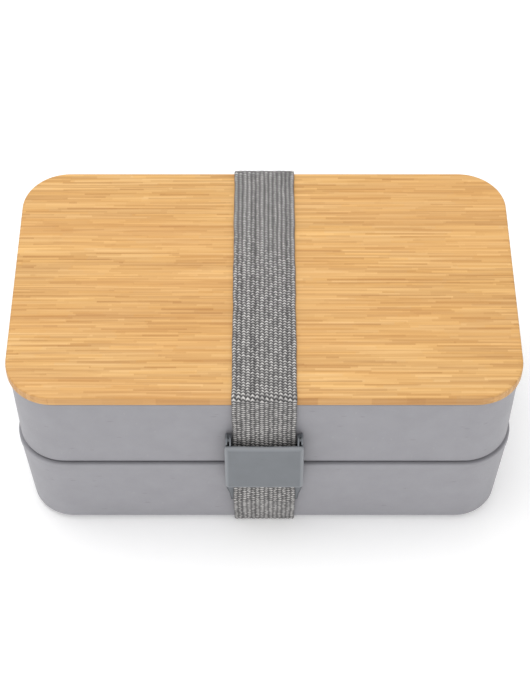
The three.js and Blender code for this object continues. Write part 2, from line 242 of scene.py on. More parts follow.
def makeMouldedGrain():
    # cloudy tint and fine tooth that every moulded piece shares
    inputs = [
        ("Vector", vectorKind, None),
        ("Cloud Size", floatKind, 12.0),
        ("Tooth Size", floatKind, 0.35),
    ]
    outputs = [("Cloud", floatKind), ("Tooth", floatKind)]
    group, start, end = makeGroup("mouldedGrain", inputs, outputs)
    cloudScale = calc(group, "DIVIDE", 1.0, start.outputs["Cloud Size"])
    toothScale = calc(group, "DIVIDE", 1.0, start.outputs["Tooth Size"])
    cloud = noise(group, start.outputs["Vector"], cloudScale, 3.0, 0.6)
    tooth = noise(group, start.outputs["Vector"], toothScale, 2.0, 0.6)
    group.links.new(cloud, end.inputs["Cloud"])
    group.links.new(tooth, end.inputs["Tooth"])
    return group


def makeFlecks():
    # short straw flecks: small stretched cells, kept only where a random number is high
    inputs = [
        ("Vector", vectorKind, None),
        ("Spacing", floatKind, 5.0),
        ("Size", floatKind, 0.12),
        ("Share", floatKind, 0.4),
    ]
    group, start, end = makeGroup("strawFlecks", inputs, [("Mask", floatKind)])
    scale = calc(group, "DIVIDE", 1.0, start.outputs["Spacing"])
    bend = noise(group, start.outputs["Vector"], 0.4, 1.0)
    shifted = put(
        group,
        "ShaderNodeVectorMath",
        {0: start.outputs["Vector"], 1: bend},
        operation="ADD",
    ).outputs[0]
    cells = put(group, "ShaderNodeTexVoronoi", {"Vector": shifted, "Scale": scale})
    size = start.outputs["Size"]
    near = spread(group, cells.outputs["Distance"], size, calc(group, "MULTIPLY", size, 0.5))
    pick = put(group, "ShaderNodeSeparateColor", {0: cells.outputs["Color"]}).outputs[0]
    kept = calc(group, "LESS_THAN", pick, start.outputs["Share"])
    group.links.new(calc(group, "MULTIPLY", near, kept), end.inputs["Mask"])
    return group


mouldedGrain = makeMouldedGrain()
strawFlecks = makeFlecks()


def useGroup(tree, group, **sockets):
    node = tree.nodes.new("ShaderNodeGroup")
    node.node_tree = group
    for label, value in sockets.items():
        socket = node.inputs[label.replace("_", " ")]
        if isinstance(value, bpy.types.NodeSocket):
            tree.links.new(value, socket)
        else:
            socket.default_value = value
    return node


bambooLook = {
    "pale": (0.860, 0.530, 0.205),
    "mid": (0.680, 0.382, 0.124),
    "deep": (0.470, 0.222, 0.060),
    "warm": (0.700, 0.350, 0.110),
    "paintedSideShade": (0.89, 0.855, 0.84),  # painted shade: the sides get less light than the top and are painted darker by this much
    "yellow": (1.0, 0.968, 0.895),  # tints that the bundles are told apart by
    "pink": (0.985, 1.0, 1.075),
    # weight of each soft layer, and its waves per millimetre along and across the fibres
    "layers": [
        (0.34, (0.010, 0.17, 0.17)),
        (0.22, (0.018, 0.70, 0.70)),
        (0.62, (0.030, 1.95, 1.95)),
    ],
    # weight, width and length of the fibre bundles
    "bundles": [(0.34, 0.76, 31.0), (0.24, 1.02, 19.0), (0.06, 2.3, 46.0)],
    "stripWidth": 6.2,
    "roughness": 0.5,
}

trayLook = {
    "color": (0.305, 0.300, 0.323),
    "fleck": (0.175, 0.168, 0.168),
    "straw": (0.42, 0.41, 0.41),
    "roughness": 0.46,
}

innerLook = {"color": (0.70, 0.70, 0.71), "roughness": 0.36}
siliconeLook = {"color": (0.78, 0.78, 0.76), "roughness": 0.55}
# the rim colour is a painted highlight for the lever's bevels
buckleLook = {"color": (0.158, 0.171, 0.187), "rim": (0.285, 0.300, 0.320), "roughness": 0.33}

webLook = {
    "dark": (0.030, 0.029, 0.030),
    "mid": (0.192, 0.186, 0.184),
    "light": (0.700, 0.682, 0.662),
    "roughness": 0.85,
    "toneSpan": 0.5,  # how far the stitches' greys differ
    "toneBase": 0.42,
    "yarnGapDarkAndShade": 0.12,  # what is left of a stitch's grey between two yarns: partly the yarn's own dark tone, partly painted shade
    # painted highlight on the rib tops
    "paintedRidgeHighlight": 0.16,
    "ribSpan": 0.12,  # how far whole ribs differ
    # painted shade in the grooves between ribs
    "paintedGrooveShade": 0.35,
}


def fibreBundles(tree, along, across, wide, long):
    # rows of one width cut into lengths, each row shifted by chance; every length has its own tone
    row = calc(tree, "FLOOR", calc(tree, "DIVIDE", across, wide))
    shift = put(tree, "ShaderNodeTexWhiteNoise", {"W": row}, noise_dimensions="1D").outputs["Value"]
    place = calc(tree, "MULTIPLY_ADD", shift, 7.3, calc(tree, "DIVIDE", along, long))
    cell = put(tree, "ShaderNodeCombineXYZ", {0: row, 1: calc(tree, "FLOOR", place)})
    tone = put(tree, "ShaderNodeTexWhiteNoise", {"Vector": cell.outputs[0]}, noise_dimensions="2D")
    return tone.outputs["Value"]


def bambooMaterial():
    # strips side by side, crisp fibre bundles, soft long streaks, thin dark and pale lines
    look = bambooLook
    material, tree, shader = makeMaterial("bamboo", look["mid"], look["roughness"])
    place = millimetres(tree)
    along, across = put(tree, "ShaderNodeSeparateXYZ", {0: place}).outputs[:2]
    wander = noise(tree, millimetres(tree, (0.012, 0.05, 0.05)), 1.0, 1.0)
    bent = calc(tree, "MULTIPLY_ADD", wander, 0.5, across)
    strip = calc(tree, "FLOOR", calc(tree, "DIVIDE", bent, look["stripWidth"]))
    tone = put(tree, "ShaderNodeTexWhiteNoise", {"W": strip}, noise_dimensions="1D")
    shade = calc(tree, "MULTIPLY_ADD", tone.outputs["Value"], 0.12, 0.44)
    for weight, scale in look["layers"]:
        layer = noise(tree, millimetres(tree, scale), 1.0, 2.0, 0.55)
        shade = calc(tree, "MULTIPLY_ADD", calc(tree, "SUBTRACT", layer, 0.5), weight, shade)
    for weight, wide, long in look["bundles"]:
        tones = fibreBundles(tree, along, bent, wide, long)
        shade = calc(tree, "MULTIPLY_ADD", calc(tree, "SUBTRACT", tones, 0.5), weight, shade)
    palette = put(tree, "ShaderNodeValToRGB", {0: shade})
    ramp = palette.color_ramp
    ramp.elements[0].position = 0.1
    ramp.elements[0].color = (*look["deep"], 1)
    ramp.elements[1].position = 0.9
    ramp.elements[1].color = (*look["pale"], 1)
    ramp.elements.new(0.5).color = (*look["mid"], 1)
    vessel = noise(tree, millimetres(tree, (0.03, 1.25, 1.25)), 1.0, 1.0)
    vesselMask = spread(tree, vessel, 0.66, 0.76, 0.0, 0.42)
    paleLine = noise(tree, millimetres(tree, (0.026, 1.15, 1.15)), 1.0, 0.0)
    paleMask = spread(tree, paleLine, 0.70, 0.80, 0.0, 0.55)
    color = blendColors(tree, paleMask, palette.outputs[0], (*look["pale"], 1))
    color = blendColors(tree, vesselMask, color, (*look["deep"], 1))
    tints = fibreBundles(tree, along, bent, 1.24, 24.0)
    tint = blendColors(tree, tints, (*look["yellow"], 1), (*look["pink"], 1))
    color = blendColors(tree, 1.0, color, tint, "MULTIPLY")
    zone = noise(tree, millimetres(tree, (0.009, 0.045, 0.045)), 1.0, 2.0, 0.6)
    color = blendColors(tree, spread(tree, zone, 0.42, 0.68, 0.0, 0.35), color, (*look["warm"], 1))
    # painted shade: faces that turn sideways get their colour darkened, as they get less light than the top
    upward = put(tree, "ShaderNodeSeparateXYZ", {0: put(tree, "ShaderNodeNewGeometry").outputs["Normal"]})
    side = spread(tree, upward.outputs[2], 0.9, 0.3)
    color = blendColors(tree, side, color, (*look["paintedSideShade"], 1), "MULTIPLY")
    feed(tree, color, shader, "Base Color")
    rough = spread(tree, shade, 0.2, 0.8, look["roughness"] + 0.08, look["roughness"] - 0.06)
    feed(tree, rough, shader, "Roughness")
    roughen(tree, shader, shade, 0.00005, 0.5)
    return material


def trayMaterial():
    # moulded straw-filled plastic: cloudy grey, sparse dark and pale flecks, satin tooth
    look = trayLook
    material, tree, shader = makeMaterial("trayPlastic", look["color"], look["roughness"])
    place = millimetres(tree)
    grain = useGroup(tree, mouldedGrain, Vector=place, Cloud_Size=9.0, Tooth_Size=0.5)
    base = look["color"]
    darker = tuple(value * 0.955 for value in base)
    paler = tuple(value * 1.045 for value in base)
    cloud = spread(tree, grain.outputs["Cloud"], 0.3, 0.7)
    color = blendColors(tree, cloud, (*darker, 1), (*paler, 1))
    fine = spread(tree, grain.outputs["Tooth"], 0.3, 0.75, 0.0, 0.22)
    color = blendColors(tree, fine, color, (*darker, 1))
    flat = millimetres(tree, (0.38, 0.8, 1.35))
    dark = useGroup(tree, strawFlecks, Vector=flat, Spacing=3.4, Size=0.16, Share=0.34)
    pale = useGroup(
        tree, strawFlecks, Vector=millimetres(tree, (1.2, 0.5, 0.6)), Spacing=4.3, Size=0.12
    )
    darkShare = calc(tree, "MULTIPLY", dark.outputs[0], 0.34)
    paleShare = calc(tree, "MULTIPLY", pale.outputs[0], 0.22)
    color = blendColors(tree, darkShare, color, (*look["fleck"], 1))
    color = blendColors(tree, paleShare, color, (*look["straw"], 1))
    feed(tree, color, shader, "Base Color")
    rough = spread(
        tree, grain.outputs["Tooth"], 0.2, 0.8, look["roughness"] - 0.06, look["roughness"] + 0.08
    )
    feed(tree, rough, shader, "Roughness")
    roughen(tree, shader, grain.outputs["Tooth"], 0.00003, 0.5)
    return material


def mouldedMaterial(name, look, cloudSize, toothSize, bump, **extra):
    # a plain moulded finish: faint cloud, fine tooth, roughness that follows it
    material, tree, shader = makeMaterial(name, look["color"], look["roughness"], **extra)
    grain = useGroup(
        tree, mouldedGrain, Vector=millimetres(tree), Cloud_Size=cloudSize, Tooth_Size=toothSize
    )
    base = look["color"]
    darker = tuple(value * 0.95 for value in base)
    paler = tuple(min(value * 1.05, 1.0) for value in base)
    cloud = spread(tree, grain.outputs["Cloud"], 0.3, 0.7)
    color = blendColors(tree, cloud, (*darker, 1), (*paler, 1))
    if "rim" in look:  # painted highlight: bevel edges painted paler where light catches them
        paintedHighlight = put(tree, "ShaderNodeAttribute", attribute_name="rim").outputs["Fac"]
        color = blendColors(tree, paintedHighlight, color, (*look["rim"], 1))
    feed(tree, color, shader, "Base Color")
    rough = spread(
        tree, grain.outputs["Tooth"], 0.2, 0.8, look["roughness"] - 0.05, look["roughness"] + 0.07
    )
    feed(tree, rough, shader, "Roughness")
    roughen(tree, shader, grain.outputs["Tooth"], bump, 0.5)
    return material


webbing = {
    "width": 23.0,
    "thick": 1.0,
    "ribs": 14,
    "stitch": 1.22,  # length of one knitted stitch along the strap
    "ribHeight": 0.17,
    "stitchHeight": 0.1,
    "slant": 0.42,  # stitches that a yarn passes on its way from a rib's edge to its middle
    "ribOffset": 0.25,  # stitches that each rib runs ahead of the one beside it
    "stepsPerRib": 8,
}


def makeRibKnit():
    # chevron knit: each rib is two rows of slanted yarns that meet along its middle
    inputs = [
        ("Run", vectorKind, None),
        ("Ribs", floatKind, 14.0),
        ("Stitch", floatKind, 1.1),
        ("Slant", floatKind, 0.8),
    ]
    outputs = [("Yarn", floatKind), ("Tone", floatKind), ("Rib", floatKind), ("Ridge", floatKind)]
    group, start, end = makeGroup("ribKnit", inputs, outputs)
    parts = put(group, "ShaderNodeSeparateXYZ", {0: start.outputs["Run"]})
    across = calc(group, "MULTIPLY", parts.outputs[0], start.outputs["Ribs"])
    side = calc(group, "SUBTRACT", calc(group, "FRACT", across), 0.5)
    off = calc(group, "MULTIPLY", calc(group, "ABSOLUTE", side), 2.0)
    along = calc(group, "DIVIDE", calc(group, "MULTIPLY", parts.outputs[1], 100.0), start.outputs["Stitch"])
    along = calc(group, "MULTIPLY_ADD", calc(group, "FLOOR", across), webbing["ribOffset"], along)
    phase = calc(group, "MULTIPLY_ADD", off, start.outputs["Slant"], along)
    wave = calc(group, "COSINE", calc(group, "MULTIPLY", phase, 2 * math.pi))
    yarn = spread(group, wave, -0.5, 0.5)
    rowNumber = calc(group, "FLOOR", calc(group, "MULTIPLY", across, 2.0))
    stitchNumber = calc(group, "ROUND", phase)
    cell = put(group, "ShaderNodeCombineXYZ", {0: rowNumber, 1: stitchNumber})
    tone = put(group, "ShaderNodeTexWhiteNoise", {"Vector": cell.outputs[0]}, noise_dimensions="3D")
    ribTone = put(
        group, "ShaderNodeTexWhiteNoise", {"W": calc(group, "FLOOR", across)}, noise_dimensions="1D"
    )
    ridge = calc(group, "SUBTRACT", 1.0, off)
    group.links.new(yarn, end.inputs["Yarn"])
    group.links.new(tone.outputs["Value"], end.inputs["Tone"])
    group.links.new(ribTone.outputs["Value"], end.inputs["Rib"])
    group.links.new(ridge, end.inputs["Ridge"])
    return group


def webMaterial():
    # melange yarn: every stitch has its own grey, the ridges carry a painted highlight and the grooves
    # painted shade
    look = webLook
    material, tree, shader = makeMaterial("webbing", look["mid"], look["roughness"])
    run = put(tree, "ShaderNodeUVMap", uv_map="run").outputs[0]
    knit = useGroup(
        tree, makeRibKnit(), Run=run, Ribs=float(webbing["ribs"]), Stitch=webbing["stitch"],
        Slant=webbing["slant"],
    )
    yarn, ridge = knit.outputs["Yarn"], knit.outputs["Ridge"]
    level = calc(tree, "MULTIPLY_ADD", knit.outputs["Tone"], look["toneSpan"], look["toneBase"])
    # between two yarns the colour is darkened: partly the yarn's own dark tone, partly painted shade
    level = calc(tree, "MULTIPLY", level, spread(tree, yarn, 0.0, 1.0, look["yarnGapDarkAndShade"], 1.0))
    # painted highlight: rib tops made paler
    level = calc(tree, "MULTIPLY_ADD", spread(tree, ridge, 0.6, 0.95), look["paintedRidgeHighlight"], level)
    ribShift = calc(tree, "SUBTRACT", knit.outputs["Rib"], 0.5)
    level = calc(tree, "MULTIPLY_ADD", ribShift, look["ribSpan"], level)
    # painted shade: the grooves between ribs made darker
    groove = spread(tree, ridge, 0.0, 0.35, look["paintedGrooveShade"], 1.0)
    level = calc(tree, "MULTIPLY", level, groove)
    low = spread(tree, level, 0.0, 0.4)
    high = spread(tree, level, 0.4, 1.0)
    color = blendColors(tree, low, (*look["dark"], 1), (*look["mid"], 1))
    color = blendColors(tree, high, color, (*look["light"], 1))
    feed(tree, color, shader, "Base Color")
    shader.inputs["Sheen Weight"].default_value = 0.1
    shader.inputs["Sheen Roughness"].default_value = 0.5
    roughen(tree, shader, calc(tree, "MULTIPLY", yarn, ridge), 0.00015, 0.6)
    return material


bamboo = bambooMaterial()
trayPlastic = trayMaterial()
innerPlastic = mouldedMaterial("innerPlastic", innerLook, 14.0, 0.6, 0.00002)
silicone = mouldedMaterial(
    "silicone", siliconeLook, 6.0, 0.4, 0.00002, Subsurface_Weight=0.15, Subsurface_Scale=0.002
)
bucklePlastic = mouldedMaterial("bucklePlastic", buckleLook, 7.0, 0.3, 0.00002)
print("materials ready")



def makePiece(name, points, faces, material, sharp=35, body=None, nodes=()):
    # points in millimetres, faces as lists of corners
    mesh = bpy.data.meshes.new(name)
    mesh.from_pydata((np.asarray(points) * metre).tolist(), [], faces)
    mesh.validate()
    mesh.shade_smooth()
    mesh.set_sharp_from_angle(angle=math.radians(sharp))
    mesh.materials.append(material)
    piece = bpy.data.objects.new(name, mesh)
    scene.collection.objects.link(piece)
    if body:
        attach(piece, body)
    if nodes:
        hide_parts(*nodes)
    return piece


def quadFaces(rows, columns, first=0, loopRows=False):
    # quads of a grid whose columns close on themselves
    row = np.arange(rows if loopRows else rows - 1)[:, None]
    column = np.arange(columns)[None, :]
    after = (column + 1) % columns
    above = (row + 1) % rows
    corners = [row * columns + column, row * columns + after]
    corners += [above * columns + after, above * columns + column]
    return (np.stack(corners, -1).reshape(-1, 4) + first).tolist()


def loft(rings, looped=False, first=0):
    # skins a stack of closed rings (rings, points, 3) and closes its two ends
    rings = np.asarray(rings, float)
    count, columns = rings.shape[:2]
    faces = quadFaces(count, columns, first, looped)
    if not looped:
        faces.append((first + np.arange(columns)[::-1]).tolist())
        faces.append((first + (count - 1) * columns + np.arange(columns)).tolist())
    return rings.reshape(-1, 3), faces


def gather(*shells):
    # several closed shells in one mesh
    points, faces = [], []
    for shellPoints, shellFaces in shells:
        base = sum(len(part) for part in points)
        points.append(np.asarray(shellPoints))
        faces += [[corner + base for corner in face] for face in shellFaces]
    return np.vstack(points), faces


def planRing(plan, inset, cornerPoints=20, hold=1.5):
    # rounded rectangle drawn in by inset: arcs at the corners, each with a holding point beside it
    radius = max(plan["radius"] - inset, 0.2)
    halfLength = plan["length"] / 2 - inset - radius
    halfWidth = plan["width"] / 2 - inset - radius
    turns = np.radians(np.linspace(0, 90, cornerPoints))
    arc = np.stack([np.cos(turns), np.sin(turns)], -1) * radius
    before = arc[0] - [0, hold]
    after = arc[-1] - [hold, 0]
    quarter = np.vstack([before, arc, after])
    ring = []
    for corner in range(4):
        cos, sin = [(1, 0), (0, 1), (-1, 0), (0, -1)][corner]
        turned = quarter @ np.array([[cos, sin], [-sin, cos]])
        centre = [
            halfLength * (1 if corner in (0, 3) else -1),
            halfWidth * (1 if corner < 2 else -1),
        ]
        ring.append(turned + centre)
    return np.vstack(ring)


def planRings(plan, profile):
    # one ring of the plan at each (inset, height) of the profile
    rings = []
    for inset, height in profile:
        ring = planRing(plan, inset)
        rings.append(np.column_stack([ring, np.full(len(ring), height)]))
    return np.array(rings)


def arcProfile(inset, height, radius, start, end, steps):
    # points on an arc, 0 degrees out of the box and 90 up
    turns = np.radians(np.linspace(start, end, steps + 1))
    points = np.stack([inset - radius * np.cos(turns), height + radius * np.sin(turns)], -1)
    return [tuple(point) for point in points]


def held(profile, hold=0.5, closed=False):
    # adds a point close to each end of every long straight stretch, so smooth shading stays put
    points = [np.array(point, float) for point in profile]
    pairs = list(zip(points, points[1:] + points[:1]))
    if not closed:
        pairs = pairs[:-1]
    result = []
    for start, end in pairs:
        result.append(start)
        length = np.linalg.norm(end - start)
        if length > 3 * hold:
            step = (end - start) * hold / length
            result += [start + step, end - step]
    if not closed:
        result.append(points[-1])
    return [tuple(point) for point in result]


def shrink(plan, inset):
    # the plan with every side moved in by inset
    return {
        "length": plan["length"] - 2 * inset,
        "width": plan["width"] - 2 * inset,
        "radius": plan["radius"] - inset,
    }


def planOf(node, radius):
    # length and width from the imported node, with its corner radius
    low, high = cadBox(node)
    return {"length": high[0] - low[0], "width": high[1] - low[1], "radius": radius}


tray = {
    "wall": 2.0,
    "floor": 2.0,
    "floorRound": 4.0,
    "rimHigh": 3.0,
    "rimProud": 0.25,
    "rimRound": 0.6,
    "insideRound": 0.4,
}

upperTray = {"radius": 18.7, "draft": 0.0208, "footHigh": 2.6, "footInset": 2.3, "baseRound": 1.1}
lowerTray = {"radius": 18.9, "draft": 0.0652, "baseRound": 2.2, "ledgeBelowRim": 5, "ledgeWide": 1.2}


def wallInset(tier, high, z):
    # the wall leans in by draft for each millimetre below the rim band
    return tray["rimProud"] + (high - tray["rimHigh"] - z) * tier["draft"]


def rimProfile(high):
    # up the band, over the rounded rim and down the first of the inside
    inside = tray["insideRound"]
    top = high - tray["rimRound"]
    return [
        (tray["rimProud"], high - tray["rimHigh"]),
        (0.0, high - tray["rimHigh"] + tray["rimProud"]),
        *arcProfile(tray["rimRound"], top, tray["rimRound"], 0, 90, 6),
        *arcProfile(tray["wall"] - inside, high - inside, inside, 90, 180, 5),
    ]


def floorProfile(tier, high, extraWall):
    # down the inner wall, round the quarter arc and onto the floor
    turn = tray["floor"] + tray["floorRound"]
    inset = wallInset(tier, high, turn) + tray["wall"] + extraWall + tray["floorRound"]
    arc = arcProfile(inset, turn, tray["floorRound"], 0, -90, 8)
    return [*arc, (inset + 1.5, tray["floor"])]


def makeLowerTray():
    # rings up the outside, over the rim, down past the ledge to the floor
    low, high = cadBox("lower_tier")
    tall = high[2] - low[2]
    tier = lowerTray
    base = tier["baseRound"]
    ledge = tall - tier["ledgeBelowRim"]
    ledgeInset = tray["wall"] + tier["ledgeWide"]
    baseInset = wallInset(tier, tall, base) + base
    profile = [
        (baseInset + 1.5, 0.0),
        *arcProfile(baseInset, base, base, -90, 0, 8),
        *rimProfile(tall),
        (tray["wall"], ledge),
        (ledgeInset - 0.2, ledge),
        (ledgeInset, ledge - 0.4),
        *floorProfile(tier, tall, 0.2),
    ]
    rings = planRings(planOf("lower_tier", tier["radius"]), held(profile))
    rings[:, :, 2] += low[2]
    points, faces = loft(rings)
    return makePiece(
        "lowerTray", points, faces, trayPlastic,
        body="lower_tier", nodes=["lower_tier"],
    )


def makeUpperTray():
    # as the lower tray, with a foot that stands inside the tray below
    low, high = cadBox("upper_tier")
    tall = high[2] - low[2]
    tier = upperTray
    foot, footInset, base = tier["footHigh"], tier["footInset"], tier["baseRound"]
    footRound = 0.8
    baseTurn = foot + base
    baseInset = wallInset(tier, tall, baseTurn) + base
    profile = [
        (footInset + footRound + 1.5, 0.0),
        *arcProfile(footInset + footRound, footRound, footRound, -90, 0, 4),
        (footInset, foot),
        *arcProfile(baseInset, baseTurn, base, -90, 0, 6),
        *rimProfile(tall),
        *floorProfile(tier, tall, 0.0),
    ]
    rings = planRings(planOf("upper_tier", tier["radius"]), held(profile))
    rings[:, :, 2] += low[2]
    points, faces = loft(rings)
    return makePiece(
        "upperTray", points, faces, trayPlastic,
        body="upper_tier", nodes=["upper_tier"],
    )


makeLowerTray()
makeUpperTray()
print("trays ready")


lidBoard = {"radius": 17.5, "topRound": 0.8, "underRound": 0.5, "thick": 4.4}
lidPlug = {
    "deep": 4.0,
    "slack": 0.45,
    "edge": 0.5,
    "grooveLow": 1.3,
    "grooveHigh": 3.1,
    "grooveDeep": 1.3,
}
plugPlan = shrink(planOf("upper_tier", upperTray["radius"]), tray["wall"] + lidPlug["slack"])


def makeLid():
    # a grooved plug under a board, each with rings of its own plan
    low, high = cadBox("bamboo_lid")
    deep, edge, inner = lidPlug["deep"], lidPlug["edge"], lidPlug["grooveDeep"]
    top = high[2] - low[2]
    underRound, topRound = lidBoard["underRound"], lidBoard["topRound"]
    plug = held([
        (edge + 1.5, 0.0),
        *arcProfile(edge, edge, edge, -90, 0, 4),
        (0.0, lidPlug["grooveLow"]),
        (inner, lidPlug["grooveLow"]),
        (inner, lidPlug["grooveHigh"]),
        (0.0, lidPlug["grooveHigh"]),
        (0.0, deep),
    ])
    board = held([
        (underRound + 1.5, deep),
        *arcProfile(underRound, deep + underRound, underRound, -90, 0, 4),
        *arcProfile(topRound, top - topRound, topRound, 0, 90, 8),
        (topRound + 1.2, top),
    ])
    boardPlan = planOf("bamboo_lid", lidBoard["radius"])
    rings = np.concatenate([planRings(plugPlan, plug), planRings(boardPlan, board)])
    rings[:, :, 2] += low[2]
    points, faces = loft(rings)
    return makePiece(
        "bambooLid", points, faces, bamboo,
        body="lid", nodes=["bamboo_lid"],
    )


def makeSeal(name, node, plan, proud, grooveDeep, body):
    # half-round silicone ring: a closed profile swept round the plan
    low, high = cadBox(node)
    radius = (high[2] - low[2]) / 2
    middle = (high[2] + low[2]) / 2
    back = grooveDeep - 0.15
    profile = [
        *arcProfile(radius - proud, middle, radius, -90, 90, 10),
        (back, middle + radius),
        (back, middle - radius),
    ]
    points, faces = loft(planRings(plan, held(profile, 0.15, True)), looped=True)
    return makePiece(name, points, faces, silicone, body=body, nodes=[node])


makeLid()
makeSeal("lidSeal", "lid_seal", plugPlan, lidPlug["slack"] - 0.15, lidPlug["grooveDeep"], "lid")
print("lid ready")


innerCover = {
    "slack": 0.35,
    "plugDeep": 3.3,
    "panelLow": 1.8,
    "panelHigh": 3.6,
    "plugInset": 1.55,
    "grooveDeep": 1.15,
    "grooveLow": 0.75,
    "grooveHigh": 2.55,
    "rimInside": 4.4,
    "panelInset": 7.2,
    "edge": 0.3,
}
innerPlan = shrink(planOf("lower_tier", lowerTray["radius"]), tray["wall"] + innerCover["slack"])


def innerLidProfile(top):
    # underside of the panel, down and round the plug rim with its groove, over the flange
    cover = innerCover
    edge, rim, panel = cover["edge"], cover["rimInside"], cover["panelInset"]
    plug, groove = cover["plugInset"], cover["plugInset"] + cover["grooveDeep"]
    return [
        (panel + 1.5, cover["panelLow"]),
        (rim + edge, cover["panelLow"]),
        (rim, edge),
        (rim - edge, 0.0),
        (plug + edge, 0.0),
        (plug, edge),
        (plug, cover["grooveLow"]),
        (groove, cover["grooveLow"]),
        (groove, cover["grooveHigh"]),
        (plug, cover["grooveHigh"]),
        (plug, cover["plugDeep"]),
        (edge, cover["plugDeep"]),
        *arcProfile(edge, cover["plugDeep"] + edge, edge, -90, 0, 3),
        *arcProfile(edge, top - edge, edge, 0, 90, 3),
        *arcProfile(panel - 1.2 - edge, top - edge, edge, 90, 150, 3),
        *arcProfile(panel + 0.5, cover["panelHigh"] + 0.5, 0.5, -30, -90, 3),
        (panel + 2.0, cover["panelHigh"]),
    ]


def spun(centre, profile, segments=48):
    # rings of a turned shape about a vertical axis, from (radius, height) points
    turns = np.linspace(0, 2 * math.pi, segments, endpoint=False)
    circle = np.stack([np.cos(turns), np.sin(turns)], -1)
    rings = []
    for radius, height in profile:
        ring = circle * max(radius, 0.02) + np.array(centre)
        rings.append(np.column_stack([ring, np.full(segments, height)]))
    return np.array(rings)


def cutHole(piece, centre, radius, low, high):
    # takes a round hole out of a piece and keeps the finished mesh
    points, faces = loft(spun(centre, [(radius, low), (radius, high)], 40))
    tool = makePiece("holeTool", points, faces, innerPlastic)
    cutter = piece.modifiers.new("hole", "BOOLEAN")
    cutter.operation = "DIFFERENCE"
    cutter.object = tool
    depsgraph = bpy.context.evaluated_depsgraph_get()
    finished = bpy.data.meshes.new_from_object(piece.evaluated_get(depsgraph))
    piece.modifiers.clear()
    piece.data = finished
    bpy.data.objects.remove(tool)


def makeInnerLid():
    # a flanged panel with a hole for the vent plug
    low, high = cadBox("inner_lid")
    profile = held(innerLidProfile(high[2] - low[2]), 0.4)
    rings = planRings(innerPlan, profile)
    rings[:, :, 2] += low[2]
    points, faces = loft(rings)
    lid = makePiece("innerLid", points, faces, innerPlastic)
    plugLow, plugHigh = cadBox("vent_plug")
    centre = (plugLow[:2] + plugHigh[:2]) / 2
    cutHole(lid, centre, 3.0, low[2] - 3, high[2] + 3)
    lid.data.set_sharp_from_angle(angle=math.radians(35))
    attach(lid, "inner_lid")
    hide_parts("inner_lid")


def makeVentPlug():
    # a stem and a domed head, turned about their axis
    low, high = cadBox("vent_plug")
    centre = (low[:2] + high[:2]) / 2
    head = (high[0] - low[0]) / 2
    under = high[2] - 1.3
    profile = [
        (0.0, low[2]),
        (1.6, low[2]),
        (2.3, low[2] + 0.15),
        (2.7, low[2] + 0.6),
        (2.7, under - 0.4),
        (3.0, under),
        (head - 0.5, under),
        (head - 0.15, under + 0.15),
        (head, under + 0.5),
        (head - 0.12, under + 0.85),
        (head - 0.5, high[2] - 0.25),
        (head - 1.4, high[2] - 0.08),
        (head - 2.2, high[2]),
        (2.6, high[2]),
        (2.2, high[2] - 0.25),
        (0.0, high[2] - 0.45),
    ]
    points, faces = loft(spun(centre, profile))
    makePiece(
        "ventPlug", points, faces, silicone,
        body="vent_plug", nodes=["vent_plug"],
    )


def arcPoints(centre, radius, start, end, steps):
    # centre plus radius times cosine and sine, from start to end
    turns = np.radians(np.linspace(start, end, steps + 1))
    return np.stack([np.cos(turns), np.sin(turns)], -1) * radius + np.array(centre)


def drawnIn(outline, inset):
    # a closed outline moved inwards along the mean of its neighbouring edges' normals
    ahead = np.roll(outline, -1, 0) - outline
    normals = np.stack([-ahead[:, 1], ahead[:, 0]], -1)
    normals /= np.linalg.norm(normals, axis=1)[:, None] + 1e-12
    mean = normals + np.roll(normals, 1, 0)
    mean /= np.linalg.norm(mean, axis=1)[:, None] + 1e-12
    lean = np.clip((mean * normals).sum(1), 0.5, 1)
    return outline + mean * (inset / lean)[:, None]


def slab(outline, near, far, edge, axis):
    # an anticlockwise outline pushed from near to far along an axis, with rounded edges
    turns = np.radians(np.linspace(0, 90, 5))
    insets = np.concatenate([edge * (1 - np.sin(turns)), edge * (1 - np.cos(turns))])
    depths = np.concatenate([near + edge * (1 - np.cos(turns)), far - edge * (1 - np.sin(turns))])
    rings = []
    for inset, depth in zip(insets, depths):
        flat = drawnIn(outline, inset)
        level = np.full(len(flat), depth)
        columns = {
            "x": [level, flat[:, 0], flat[:, 1]],
            "y": [flat[:, 0], level, flat[:, 1]],
        }[axis]
        rings.append(np.column_stack(columns))
    points, faces = loft(rings)
    flipped = (axis == "y") == (far > near)
    if flipped:
        faces = [face[::-1] for face in faces]
    return points, faces


dividerShape = {"thick": 1.6, "flangeThick": 1.4, "round": 3.6, "topRound": 3.0, "edge": 0.35}


